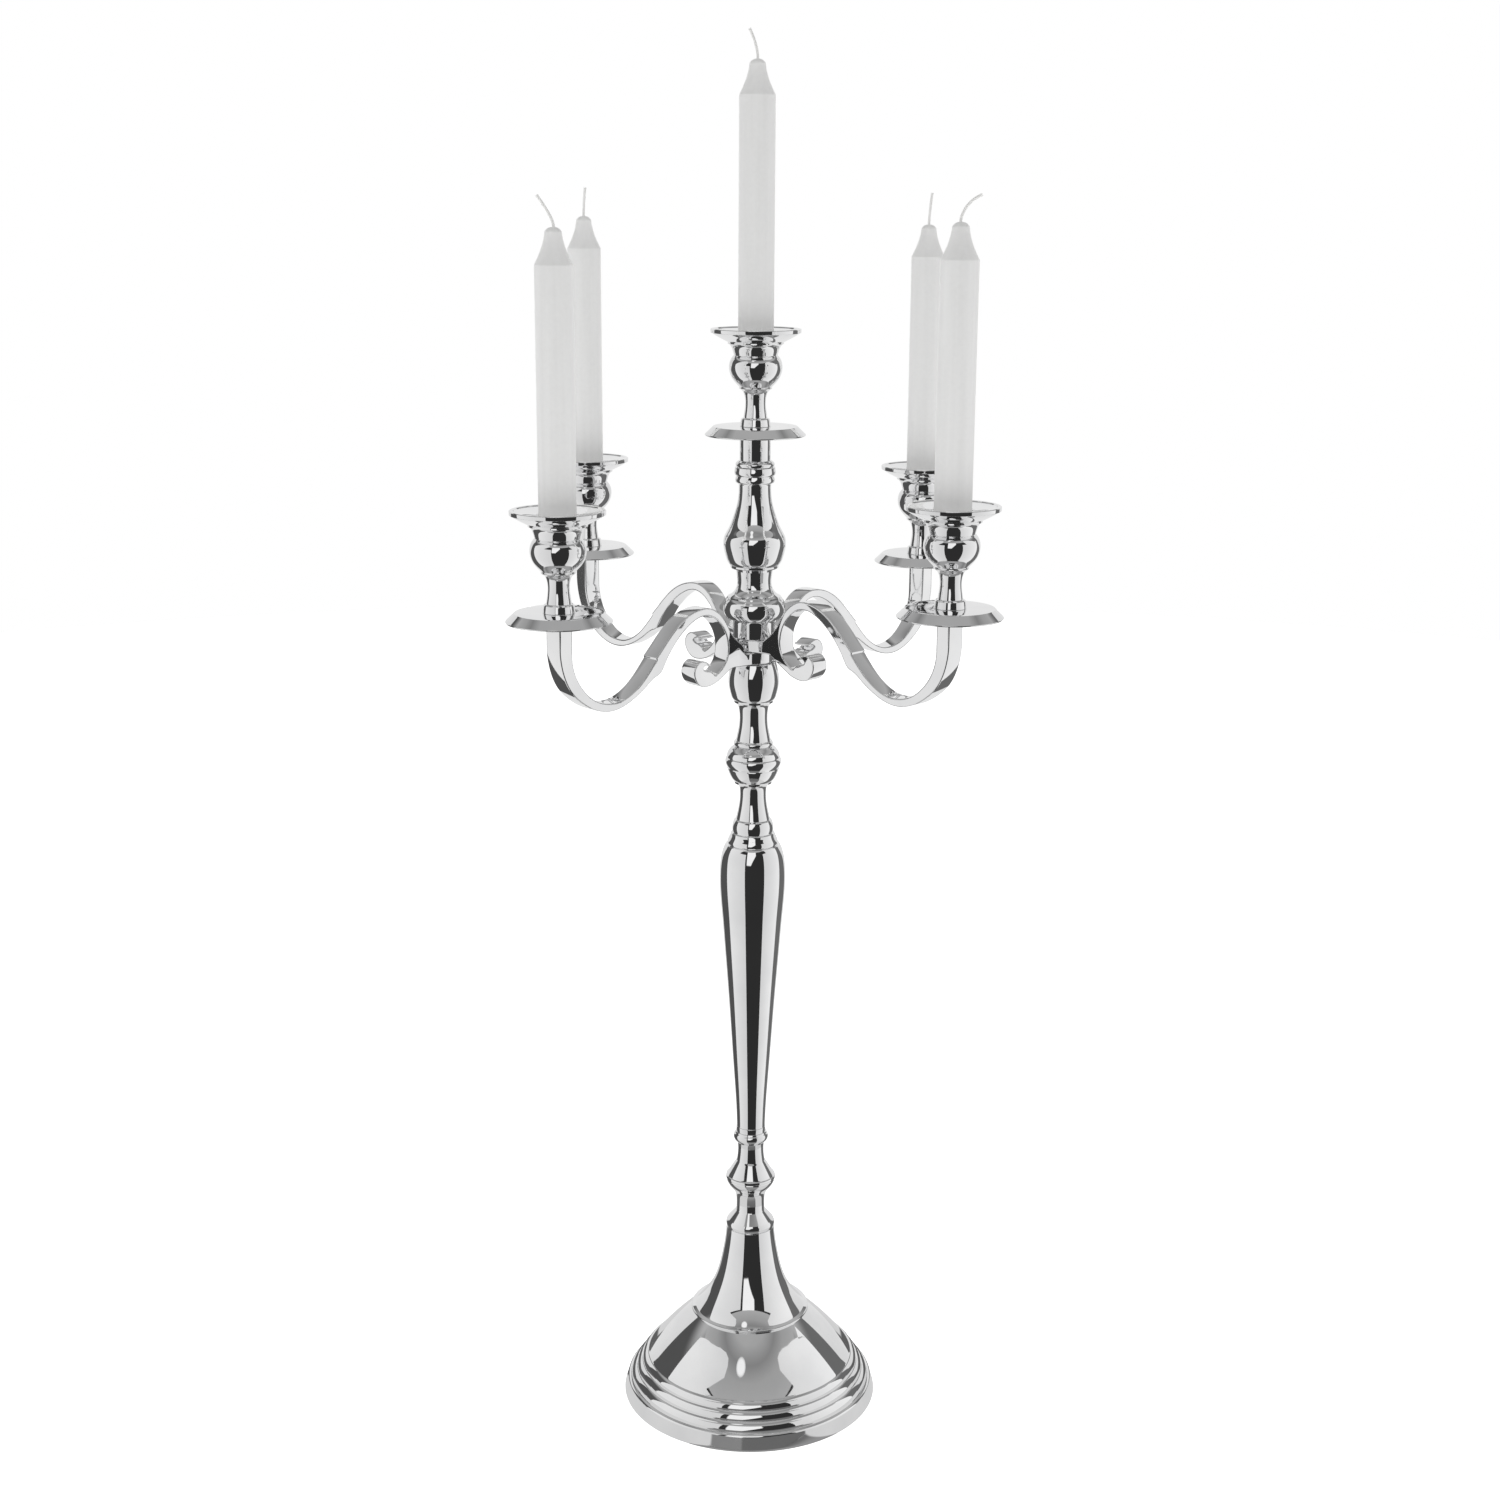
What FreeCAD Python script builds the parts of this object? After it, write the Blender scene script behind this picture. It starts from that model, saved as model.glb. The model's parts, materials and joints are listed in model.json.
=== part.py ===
"""Five-light tabletop candelabra: turned stem, two crossed scroll-arm castings, cups and candles.

Millimetres, +Z up. The origin is the centre of the base on the table.
The upper crossbar lies along X and the lower crossbar along Y.
"""
import FreeCAD, Part
import math
import os
import Sketcher

doc = FreeCAD.newDocument("Candelabra")

# ---------------------------------------------------------------- driving sizes
SIZES = [
    # base bell
    ("base_radius", 86.0), ("base_wall", 2.4), ("base_band_height", 0.8),
    ("dome_foot_radius", 69.5), ("dome_foot_height", 27.6),
    ("dome_top_radius", 38.6), ("dome_top_height", 60.0),
    ("base_height", 120.8), ("base_top_radius", 16.2), ("base_cap_thickness", 9.0),
    # stacked stem sections, each from its own seat up
    ("stem_foot_height", 69.4), ("stem_foot_radius", 16.0), ("low_knob_radius", 16.7),
    ("baluster_height", 201.2), ("baluster_radius", 21.5), ("baluster_neck_radius", 9.5),
    ("shoulder_height", 42.4), ("shoulder_radius", 16.4),
    ("knob_height", 23.3), ("knob_radius", 18.1),
    ("lower_hub_height", 54.9), ("lower_hub_radius", 16.3),
    ("eye_height", 7.9), ("eye_radius", 12.0), ("face_gap", 0.1),
    ("upper_hub_height", 44.4), ("upper_hub_radius", 19.8),
    ("vase_height", 53.4), ("vase_radius", 19.7),
    ("bead_height", 14.0), ("bead_radius", 12.9),
    ("column_height", 19.4), ("column_radius", 9.65),
    # drip pan, candle cup and candle
    ("pan_radius", 31.4), ("pan_flat_radius", 26.3), ("pan_drop", 5.6), ("pan_thickness", 1.8),
    ("cup_height", 59.6), ("cup_rim_radius", 28.0), ("cup_ball_radius", 16.5),
    ("cup_neck_radius", 6.4), ("cup_foot_radius", 9.6), ("cup_waist_radius", 13.5),
    ("socket_radius", 11.5), ("socket_floor", 31.6),
    ("candle_radius", 11.0), ("candle_length", 186.0), ("candle_shoulder", 165.4),
    ("candle_clearance", 0.1),
    ("wick_radius", 0.9), ("wick_bore_radius", 1.0), ("wick_bore_depth", 12.0),
    # crossbar castings
    ("arm_reach", 160.5), ("arm_rise", 50.4), ("bar_half_width", 6.25),
    ("riser_inner", 155.8), ("riser_outer", 165.6), ("upper_arm_lift", 4.1),
    # rods, studs, nut and washer
    ("rod_radius", 4.0), ("thread_gap", 0.05), ("running_gap", 0.08), ("rod_clearance", 0.4),
    ("rod_start", 97.0), ("rod_end", 598.0),
    ("stud_radius", 3.0), ("stud_in_arm", 14.0), ("stud_in_cup", 14.0), ("upper_rod_depth", 20.0),
    ("washer_radius", 11.0), ("washer_thickness", 2.0), ("nut_flats", 13.0), ("nut_height", 6.5),
]

sheet = doc.addObject("Spreadsheet::Sheet", "Sizes")
for row, (alias, value) in enumerate(SIZES, start=1):
    sheet.set(f"A{row}", alias)
    sheet.set(f"B{row}", str(value))
    sheet.setAlias(f"B{row}", alias)
doc.recompute()


class Size:
    """A length together with the sheet expression that gives it."""

    def __init__(self, value, text=None):
        self.value = float(value)
        self.text = text or repr(self.value)

    def _join(self, other, sign, value):
        return Size(value, f"({self.text} {sign} {as_size(other).text})")

    def __add__(self, other):
        return self._join(other, "+", self.value + as_size(other).value)

    def __sub__(self, other):
        return self._join(other, "-", self.value - as_size(other).value)

    def __mul__(self, other):
        return self._join(other, "*", self.value * as_size(other).value)

    def __neg__(self):
        return Size(-self.value, f"(0 - {self.text})")


def as_size(value):
    return value if isinstance(value, Size) else Size(value)


size = {alias: Size(sheet.get(alias), f"Sizes.{alias}") for alias, _ in SIZES}


def bind(item, prop, value):
    """Ties a property of a document object to the sheet."""
    item.setExpression(prop, as_size(value).text)


# ---------------------------------------------------------------- sketch and body helpers
def line(across, up):
    """A straight edge to a point."""
    return [(as_size(across), as_size(up))]


def curve(*points):
    """A smooth edge through the points."""
    return [(as_size(across), as_size(up)) for across, up in points]


def new_body(label, x=0.0, y=0.0, z=0.0):
    """An empty body whose place is tied to the sheet."""
    body = doc.addObject("PartDesign::Body", label)
    body.Label = label
    bind(body, "Placement.Base.x", x)
    bind(body, "Placement.Base.y", y)
    bind(body, "Placement.Base.z", z)
    return body


def new_sketch(body, role, name, lift=None):
    """A sketch on one of the body's own origin planes, lifted along the plane's normal."""
    sketch = body.newObject("Sketcher::SketchObject", name)
    plane = next(item for item in body.Origin.OriginFeatures if item.Role == role)
    sketch.AttachmentSupport = [(plane, "")]
    sketch.MapMode = "FlatFace"
    if lift is not None:
        bind(sketch, "AttachmentOffset.Base.z", lift)
    return sketch


def pin_point(sketch, edge, end, across, up):
    """Holds one end of an edge at a place given by the sheet."""
    for kind, value in (("DistanceX", across), ("DistanceY", up)):
        number = sketch.addConstraint(Sketcher.Constraint(kind, -1, 1, edge, end, value.value))
        bind(sketch, f"Constraints[{number}]", value)


def draw_outline(sketch, start, runs):
    """Draws a closed outline from the start point along its straight and smooth runs."""
    start = (as_size(start[0]), as_size(start[1]))
    here = start
    for run in runs + [[start]]:
        path = [FreeCAD.Vector(a.value, u.value, 0) for a, u in [here] + run]
        if len(run) == 1:
            edge = sketch.addGeometry(Part.LineSegment(path[0], path[1]), False)
        else:
            spline = Part.BSplineCurve()
            spline.interpolate(path)
            edge = sketch.addGeometry(spline, False)
        if edge:
            sketch.addConstraint(Sketcher.Constraint("Coincident", edge - 1, 2, edge, 1))
        pin_point(sketch, edge, 1, *here)
        here = run[-1]
    sketch.addConstraint(Sketcher.Constraint("Coincident", edge, 2, 0, 1))


def draw_circle(sketch, radius, across=0.0, up=0.0):
    """A circle with its radius and centre tied to the sheet."""
    radius, across, up = as_size(radius), as_size(across), as_size(up)
    centre = FreeCAD.Vector(across.value, up.value, 0)
    ring = sketch.addGeometry(Part.Circle(centre, FreeCAD.Vector(0, 0, 1), radius.value), False)
    number = sketch.addConstraint(Sketcher.Constraint("Radius", ring, radius.value))
    bind(sketch, f"Constraints[{number}]", radius)
    if across.value == 0 and up.value == 0:
        sketch.addConstraint(Sketcher.Constraint("Coincident", ring, 3, -1, 1))
    else:
        pin_point(sketch, ring, 3, across, up)


def revolve(body, start, runs):
    """Turns an outline, given as radius and height, about the body's own Z axis."""
    profile = new_sketch(body, "XZ_Plane", body.Label + "_profile")
    draw_outline(profile, start, runs)
    turn = body.newObject("PartDesign::Revolution", body.Label + "_turning")
    turn.Profile = profile
    turn.ReferenceAxis = (profile, ["V_Axis"])
    turn.Angle = 360.0
    return turn


def turned(label, seat, bore, runs):
    """A turned section on the stem: outer runs upward, then the bore back down."""
    body = new_body(label, z=seat)
    revolve(body, (bore, 0), runs)
    return body


def pad(body, sketch, name, length, both_ways=False):
    feature = body.newObject("PartDesign::Pad", name)
    feature.Profile = sketch
    bind(feature, "Length", length)
    feature.Midplane = both_ways
    return feature


def pocket(body, sketch, name, depth):
    """A pocket downward from a lifted sketch on the XY plane."""
    feature = body.newObject("PartDesign::Pocket", name)
    feature.Profile = sketch
    bind(feature, "Length", depth)
    feature.Reversed = False
    return feature


# ---------------------------------------------------------------- heights of the stack
seat = {}
height_so_far = size["base_height"]
for name in ("stem_foot", "baluster", "shoulder", "knob", "lower_hub"):
    seat[name] = height_so_far
    height_so_far = height_so_far + size[name + "_height"]
seat["lower_eye"] = height_so_far + size["face_gap"]
seat["upper_eye"] = seat["lower_eye"] + size["eye_height"] + size["face_gap"]
height_so_far = seat["upper_eye"] + size["eye_height"] + size["face_gap"]
for name in ("upper_hub", "vase", "bead", "column"):
    seat[name] = height_so_far
    height_so_far = height_so_far + size[name + "_height"]
seat["centre_pan"] = height_so_far
seat["lower_riser"] = seat["lower_eye"] + size["arm_rise"]
seat["upper_riser"] = seat["lower_riser"] + size["upper_arm_lift"]

rod_bore = size["rod_radius"] + size["rod_clearance"]
rod_thread = size["rod_radius"] + size["thread_gap"]
stud_thread = size["stud_radius"] + size["thread_gap"]


# ---------------------------------------------------------------- base
def make_base():
    """Hollow bell: straight-sided band, three stepped beads, dome, ridge and concave neck."""
    body = new_body("base_bell")
    wall = size["base_wall"]
    outer = size["base_radius"]
    foot, foot_z = size["dome_foot_radius"], size["dome_foot_height"]
    top, top_z = size["dome_top_radius"], size["dome_top_height"]
    height, neck = size["base_height"], size["base_top_radius"]
    inside = outer - wall - 0.6
    ceiling = height - size["base_cap_thickness"]
    revolve(body, (inside, 0), [
        line(outer, 0),
        line(outer, size["base_band_height"]),
        line(outer - 2.5, 9.4),
        curve((outer - 3.3, 10.4), (outer - 4.4, 10.8)),
        line(outer - 4.9, 10.8),
        curve((outer - 6.0, 14.2), (outer - 8.4, 16.8)),
        line(outer - 8.9, 16.8),
        curve((outer - 9.9, 19.8), (outer - 12.1, 22.2)),
        line(outer - 12.6, 22.2),
        curve((outer - 13.5, 25.0), (foot + 0.5, foot_z)),
        line(foot, foot_z),
        curve((61.6, 37.2), (51.0, 48.6), (top, top_z)),
        line(top + 0.9, top_z + 0.5),
        curve((top + 1.3, top_z + 1.3), (top + 0.6, top_z + 2.1)),
        line(top - 1.6, top_z + 2.4),
        curve((30.6, 69.9), (25.4, 78.4), (21.6, 88.6), (18.9, 100.4), (17.1, 111.2), (neck, height)),
        line(rod_bore, height),
        line(rod_bore, ceiling),
        line(neck - wall + 0.4, ceiling),
        curve((16.2, 100.0), (19.0, 88.0), (22.9, 77.4), (28.4, 68.2), (top - 3.9, top_z + 0.8)),
        curve((49.0, 46.9), (foot - 2.0, foot_z - 1.8)),
        curve((outer - 10.8, 15.4), (inside, size["base_band_height"] + 2.7)),
    ])
    return body


def make_fasteners():
    """Washer and hexagon nut under the cap of the base, and the rod that clamps the stem."""
    cap = size["base_height"] - size["base_cap_thickness"]
    washer = new_body("base_washer", z=cap - size["washer_thickness"])
    sketch = new_sketch(washer, "XY_Plane", "washer_outline")
    draw_circle(sketch, size["washer_radius"])
    draw_circle(sketch, rod_bore)
    pad(washer, sketch, "washer_disc", size["washer_thickness"])

    nut = new_body("base_nut", z=cap - size["washer_thickness"] - size["nut_height"])
    sketch = new_sketch(nut, "XY_Plane", "nut_outline")
    corner = size["nut_flats"] * (0.5 / math.cos(math.radians(30)))
    corners = [(corner * math.cos(math.radians(60 * k)), corner * math.sin(math.radians(60 * k)))
               for k in range(6)]
    draw_outline(sketch, corners[0], [line(*place) for place in corners[1:]])
    draw_circle(sketch, rod_thread)
    pad(nut, sketch, "nut_block", size["nut_height"])

    rod = new_body("tie_rod", z=size["rod_start"])
    sketch = new_sketch(rod, "XY_Plane", "rod_outline")
    draw_circle(sketch, size["rod_radius"])
    pad(rod, sketch, "rod_bar", size["rod_end"] - size["rod_start"])

    upper = new_body("upper_rod", z=seat["bead"] - size["upper_rod_depth"])
    sketch = new_sketch(upper, "XY_Plane", "upper_rod_outline")
    draw_circle(sketch, size["stud_radius"])
    length = (size["upper_rod_depth"] + size["bead_height"] + size["column_height"]
              + size["pan_thickness"] + size["stud_in_cup"])
    pad(upper, sketch, "upper_rod_bar", length)


# ---------------------------------------------------------------- stem
def make_stem():
    """The turned sections from the base up to the candle column."""
    foot, knob, top = size["stem_foot_radius"], size["low_knob_radius"], size["stem_foot_height"]
    turned("stem_foot", seat["stem_foot"], rod_bore, [
        line(foot - 0.4, 0),
        line(foot + 0.2, 0.8),
        curve((foot + 0.4, 2.4), (foot, 4.4)),
        line(foot - 0.6, 5.4),
        line(9.9, 11.8),
        line(9.6, 12.3),
        curve((9.5, 16.4), (9.7, 21.4), (10.6, 25.2), (12.9, 28.4), (15.2, 31.6), (knob - 0.3, 35.0)),
        line(knob - 0.7, 35.6),
        line(knob, 36.2),
        line(knob - 0.2, 37.6),
        line(knob - 0.9, 38.0),
        line(9.8, 47.8),
        line(9.4, 48.4),
        curve((8.8, 53.2), (8.7, 57.4), (9.2, 61.6)),
        line(9.9, 62.4),
        curve((11.2, 63.9), (11.6, 66.0), (10.6, 68.4)),
        line(10.2, top),
        line(rod_bore, top),
    ])

    neck, belly, top = size["baluster_neck_radius"], size["baluster_radius"], size["baluster_height"]
    inner = 6.6
    turned("main_baluster", seat["baluster"], rod_bore, [
        line(neck + 0.3, 0),
        line(neck + 0.3, 3.6),
        line(neck, 3.9),
        curve((10.2, 20.8), (11.7, 42.4), (13.2, 63.9), (14.8, 87.1), (16.5, 109.7), (18.2, 131.2),
              (19.9, 152.4), (21.1, 166.6), (belly, 180.2), (20.9, 190.0), (19.8, 195.8), (17.6, top)),
        line(rod_bore, top),
        line(rod_bore, top - 8.0),
        line(13.6, top - 8.0),
        curve((17.2, 180.0), (16.6, 158.0), (12.0, 100.0), (8.6, 55.0), (inner, 26.0)),
        line(rod_bore, 22.0),
    ])

    radius, top = size["shoulder_radius"], size["shoulder_height"]
    turned("stem_shoulder", seat["shoulder"], rod_bore, [
        line(radius - 0.2, 0),
        curve((radius, 1.6), (radius - 1.0, 4.6), (14.2, 7.6)),
        line(13.1, 8.1),
        curve((13.4, 10.2), (13.2, 13.2), (12.2, 16.2)),
        line(11.2, 17.0),
        curve((9.8, 23.0), (8.6, 30.6), (8.5, 34.6), (8.9, 37.8), (10.0, 39.9), (11.6, 40.9)),
        line(12.2, 41.1),
        line(12.2, top),
        line(rod_bore, top),
    ])

    radius, top = size["knob_radius"], size["knob_height"]
    turned("stem_knob", seat["knob"], rod_bore, [
        line(12.4, 0),
        curve((13.6, 1.2), (14.9, 3.4), (16.0, 6.0), (16.9, 8.6)),
        line(16.7, 9.1),
        curve((17.7, 11.2), (radius, 13.2), (17.6, 15.4)),
        line(17.1, 16.0),
        curve((16.9, 17.8), (15.9, 20.0), (14.3, 21.9), (12.6, top)),
        line(rod_bore, top),
    ])

    radius, top = size["lower_hub_radius"], size["lower_hub_height"]
    turned("lower_hub", seat["lower_hub"], rod_bore, [
        line(12.0, 0),
        curve((12.7, 1.6), (12.0, 3.4)),
        line(11.3, 3.8),
        curve((10.2, 9.4), (9.3, 14.2), (9.1, 20.6), (9.6, 24.6), (10.7, 27.3), (12.2, 28.7)),
        line(12.8, 28.9),
        line(12.8, 30.2),
        curve((13.9, 31.4), (14.8, 33.8), (15.6, 37.0), (radius - 0.1, 40.6), (radius, 43.6), (15.6, 49.6),
              (14.5, 53.6)),
        line(14.0, top),
        line(rod_bore, top),
    ])

    radius, top = size["upper_hub_radius"], size["upper_hub_height"]
    turned("upper_hub", seat["upper_hub"], rod_bore, [
        line(12.9, 0),
        line(13.3, 0.5),
        line(13.3, 9.4),
        curve((13.6, 11.2), (15.0, 12.4)),
        line(17.6, 12.6),
        curve((19.4, 15.6), (radius, 19.0), (18.9, 23.0), (17.3, 25.4)),
        line(16.8, 26.4),
        curve((12.6, 29.6), (11.0, 33.2), (10.8, 36.8), (11.5, 42.6)),
        line(12.4, top),
        line(rod_bore, top),
    ])

    radius, top = size["vase_radius"], size["vase_height"]
    rod_top = size["rod_end"] - seat["vase"] + 1.0
    thread_top = top - size["upper_rod_depth"] - 1.0
    turned("pear_vase", seat["vase"], rod_thread, [
        line(14.8, 0),
        line(15.2, 0.6),
        line(15.2, 1.8),
        curve((16.6, 3.4), (17.9, 6.4), (19.2, 11.4), (radius, 15.2), (19.2, 19.4), (16.5, 24.8),
              (13.6, 32.2), (11.2, 40.2), (10.2, 47.2), (10.2, 52.6)),
        line(10.6, top),
        line(stud_thread, top),
        line(stud_thread, thread_top),
        line(rod_thread, rod_top),
    ])

    radius, top = size["bead_radius"], size["bead_height"]
    turned("bead_collar", seat["bead"], stud_thread, [
        line(11.0, 0),
        curve((12.2, 0.8), (12.3, 2.8), (11.9, 4.2)),
        line(11.8, 4.5),
        curve((12.8, 5.7), (radius, 7.4), (12.6, 9.8)),
        line(11.9, 10.4),
        curve((12.2, 11.8), (11.5, 13.2)),
        line(10.4, top),
        line(stud_thread, top),
    ])

    radius, top = size["column_radius"], size["column_height"]
    turned("candle_column", seat["column"], stud_thread, [
        line(radius, 0),
        line(radius, top),
        line(stud_thread, top),
    ])


# ---------------------------------------------------------------- crossbar castings
def trim_sides(body, label, eye_low):
    """Cuts the wide casting back to the bar's width, with hollow flares where it meets the eye."""
    half, eye = size["bar_half_width"], size["eye_radius"]
    end, beyond = size["riser_outer"] + 4.0, size["eye_radius"] + 3.0
    flare = ((3.4, 11.4), (6.5, 10.0), (10.0, 8.2), (14.0, 6.9), (17.0, 6.4))
    for side, sign in (("right", 1.0), ("left", -1.0)):
        plan = new_sketch(body, "XY_Plane", label + "_trim_" + side, size["arm_rise"] + 1.0)
        draw_outline(plan, (-end, half * sign), [
            line(-20.0, half * sign),
            curve(*[(-u, w * sign) for u, w in reversed(flare)], (0, (eye - 0.1) * sign)),
            curve(*[(u, w * sign) for u, w in flare], (20.0, half * sign)),
            line(end, half * sign),
            line(end, beyond * sign),
            line(-end, beyond * sign),
        ])
        pocket(body, plan, label + "_side_" + side, size["arm_rise"] + 15.0)


def make_crossbar(label, turn, seat_z, eye_low):
    """Two scroll arms on one eye: each arm swoops down from the crest and rises under its pan.

    The outline is drawn in the arm's own upright plane: across is the distance from the stem's
    axis, and up is the height above the arm's datum, where the underside of the eye is eye_low.
    """
    body = new_body(label, z=seat_z - eye_low)
    body.Placement.Rotation = FreeCAD.Rotation(FreeCAD.Vector(0, 0, 1), turn)
    eye_top = eye_low + size["eye_height"]
    inner, outer, rise = size["riser_inner"], size["riser_outer"], size["arm_rise"]
    side = new_sketch(body, "XZ_Plane", label + "_side")
    draw_outline(side, (0, eye_low), [
        line(size["eye_radius"], eye_low),
        line(20.5, eye_low),
        curve((26.4, -0.4), (32.0, -3.6), (38.4, -6.9), (44.6, -8.5), (50.6, -8.2), (55.4, -4.9),
              (57.9, 0.4), (56.6, 5.4), (52.6, 8.2), (48.0, 7.5), (44.1, 5.0)),
        line(44.0, 4.0),
        curve((46.6, 4.9), (48.9, 4.6), (49.8, 3.3), (48.4, 2.1), (45.6, 1.4), (42.6, 0.1), (40.3, -2.2)),
        line(39.3, -2.2),
        curve((33.2, 2.3), (30.0, 7.0), (28.8, 12.6), (29.4, 18.6), (32.0, 25.0), (35.4, 29.6)),
        line(37.0, 31.2),
        curve((41.6, 34.4), (47.6, 36.2), (54.6, 35.4), (62.6, 31.6), (70.0, 26.0), (76.6, 19.0),
              (82.0, 11.4), (85.2, 6.6), (88.2, 4.6)),
        curve((92.8, 2.6), (98.0, -1.1), (105.4, -5.6), (115.4, -10.0), (126.4, -11.6), (137.6, -9.2),
              (149.0, -2.7), (157.6, 5.5), (163.2, 16.6), (outer, 30.0)),
        line(outer, rise),
        line(inner, rise),
        line(inner, 26.0),
        curve((152.6, 12.6), (145.2, 2.4), (136.2, -4.1), (127.0, -6.6), (119.2, -6.6), (111.0, -4.1),
              (103.4, 0.4), (95.8, 7.3), (89.2, 14.6)),
        line(89.6, 15.7),
        curve((83.6, 21.6), (76.2, 28.9), (68.2, 35.2), (59.6, 39.4), (51.2, 41.1), (45.2, 40.9),
              (39.4, 38.7), (34.0, 34.4), (29.8, 29.0), (26.0, 23.0), (21.4, 18.0), (17.2, 14.4),
              (14.6, eye_top + 0.4)),
        line(14.0, eye_top),
        line(0, eye_top),
    ])
    arm = pad(body, side, label + "_arm", size["eye_radius"] + size["eye_radius"], both_ways=True)
    mirror = body.newObject("PartDesign::Mirrored", label + "_second_arm")
    mirror.Originals = [arm]
    plane = next(item for item in body.Origin.OriginFeatures if item.Role == "YZ_Plane")
    mirror.MirrorPlane = (plane, [""])
    body.Tip = mirror

    trim_sides(body, label, eye_low)

    ring = new_sketch(body, "XY_Plane", label + "_eye_ring", eye_low)
    draw_circle(ring, size["eye_radius"])
    pad(body, ring, label + "_eye", size["eye_height"])
    hole = new_sketch(body, "XY_Plane", label + "_eye_bore", eye_top)
    draw_circle(hole, size["rod_radius"] + size["running_gap"])
    pocket(body, hole, label + "_bore", size["eye_height"])
    tapped = new_sketch(body, "XY_Plane", label + "_stud_holes", rise)
    draw_circle(tapped, stud_thread, size["arm_reach"])
    draw_circle(tapped, stud_thread, -size["arm_reach"])
    pocket(body, tapped, label + "_threads", size["stud_in_arm"] + 1.0)
    return body


# ---------------------------------------------------------------- pans, cups, candles, wicks
def make_pan(label, x, y, z):
    """Shallow inverted dish: flat top and a sloping skirt."""
    body = new_body(label, x, y, z)
    flat, edge, thick = size["pan_flat_radius"], size["pan_radius"], size["pan_thickness"]
    drop = thick - size["pan_drop"]
    revolve(body, (stud_thread, 0), [
        line(flat - 1.3, 0),
        line(edge - 1.6, drop),
        line(edge - 0.2, drop),
        curve((edge, drop + 0.4), (edge - 0.3, drop + 1.0)),
        line(flat, thick),
        line(stud_thread, thick),
    ])
    return body


def make_cup(label, x, y, z):
    """Turned candle cup: foot ring, slim neck, ball, waist and flared rim with a lip and a dish."""
    body = new_body(label, x, y, z)
    foot, neck, ball = size["cup_foot_radius"], size["cup_neck_radius"], size["cup_ball_radius"]
    waist, rim, top = size["cup_waist_radius"], size["cup_rim_radius"], size["cup_height"]
    socket, floor = size["socket_radius"], size["socket_floor"]
    revolve(body, (stud_thread, 0), [
        line(foot, 0),
        line(foot - 0.6, 4.4),
        line(foot - 1.4, 5.0),
        line(foot - 2.2, 5.2),
        curve((6.9, 8.8), (neck, 13.2), (6.6, 17.6), (8.0, 21.4), (9.6, 22.8)),
        line(10.4, 23.3),
        line(9.9, 23.9),
        curve((11.5, 25.6), (14.2, 28.8), (16.0, 32.7), (ball, 36.6), (15.7, 40.4), (waist + 0.3, 43.2)),
        line(waist, 43.5),
        curve((14.0, 45.4), (14.9, 48.0), (16.6, 50.2)),
        line(17.4, 50.5),
        line(17.2, 51.4),
        curve((19.2, 52.4), (22.7, 54.2), (rim - 0.9, 56.9)),
        line(rim - 0.1, 57.1),
        line(rim, top - 0.3),
        line(rim - 0.5, top),
        line(rim - 2.3, top - 0.1),
        line(rim - 2.8, top - 0.6),
        curve((21.0, top - 1.1), (16.6, top - 1.7), (socket + 0.8, top - 2.2)),
        line(socket, top - 2.8),
        line(socket, floor),
        line(0, floor),
        line(0, size["stud_in_cup"] + 1.0),
        line(stud_thread, size["stud_in_cup"] + 1.0),
    ])
    return body


def make_candle(label, x, y, z):
    """Straight candle with a drawn-in shoulder, a small cone at the tip and a bore for the wick."""
    body = new_body(label, x, y, z)
    radius, length, shoulder = size["candle_radius"], size["candle_length"], size["candle_shoulder"]
    bore, depth = size["wick_bore_radius"], size["wick_bore_depth"]
    revolve(body, (0, 0), [
        line(radius - 0.5, 0),
        line(radius, 0.5),
        line(radius, shoulder),
        curve((9.2, shoulder + 3.6), (7.0, shoulder + 8.8), (5.5, shoulder + 14.0), (4.9, length - 2.6)),
        curve((3.6, length - 1.0), (bore + 0.5, length)),
        line(bore, length),
        line(bore, length - depth),
        line(0, length - depth),
    ])
    return body


WICKS = {
    # name: (turn about Z in degrees, sideways reach, height of the bend, height of the end)
    "centre": (225.0, 5.0, 9.0, 18.0),
    "front_left": (225.0, 9.0, 8.0, 18.0),
    "back_right": (45.0, 1.6, 9.0, 21.0),
    "front_right": (45.0, 11.5, 9.0, 15.5),
    "back_left": (45.0, 1.2, 9.0, 19.0),
}


def make_wick(name, x, y, z):
    """Braided cotton wick: upright from its bore, then bent to one side."""
    turn, reach, bend, end = WICKS[name]
    radius, depth = size["wick_radius"], size["wick_bore_depth"]
    label = "wick_" + name
    body = new_body(label, x, y, z)
    body.Placement.Rotation = FreeCAD.Rotation(FreeCAD.Vector(0, 0, 1), turn)
    path = new_sketch(body, "XZ_Plane", label + "_path")
    foot = FreeCAD.Vector(0, 0.3, 0)
    knee = FreeCAD.Vector(0, depth.value + 2.0, 0)
    spline = Part.BSplineCurve()
    tip = FreeCAD.Vector(reach, depth.value + end, 0)
    middle = FreeCAD.Vector(reach * 0.3, depth.value + bend, 0)
    spline.interpolate([knee, middle, tip], InitialTangent=FreeCAD.Vector(0, 1, 0),
                       FinalTangent=FreeCAD.Vector(0.45 * reach, end - bend, 0))
    path.addGeometry(Part.LineSegment(foot, knee), False)
    path.addGeometry(spline, False)
    path.addConstraint(Sketcher.Constraint("Coincident", 0, 2, 1, 1))
    section = new_sketch(body, "XY_Plane", label + "_section", 0.3)
    draw_circle(section, radius)
    pipe = body.newObject("PartDesign::AdditivePipe", label + "_pipe")
    pipe.Profile = section
    pipe.Spine = (path, ["Edge1", "Edge2"])
    return body


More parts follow.
